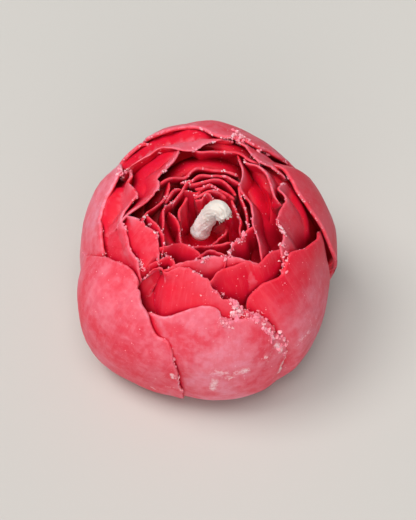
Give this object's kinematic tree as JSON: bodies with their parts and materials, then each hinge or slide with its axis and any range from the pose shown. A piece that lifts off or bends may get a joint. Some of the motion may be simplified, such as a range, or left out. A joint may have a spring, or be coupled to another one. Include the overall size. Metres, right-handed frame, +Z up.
{
  "type": "peony candle",
  "caption": "Free-standing wax candle cast as a half-open peony bloom, with layered petals round a sunken eye, a bent cotton wick and a flat base.",
  "frame": {"origin": "centre of the bounding box at the level of the flat base", "axes": "+Z up along the wick's channel, -Y towards the low front petals, +X to the right as seen from the front"},
  "size_m": [0.066, 0.0675, 0.0539],
  "materials": {
    "wax": "raspberry red cast wax, translucent, with a pale bloom on its outer faces",
    "cotton": "undyed cotton cord with a thin coat of wax"
  },
  "bodies": {
    "root": {"wax_bloom": "wax", "wick": "cotton"}
  },
  "joints": []
}
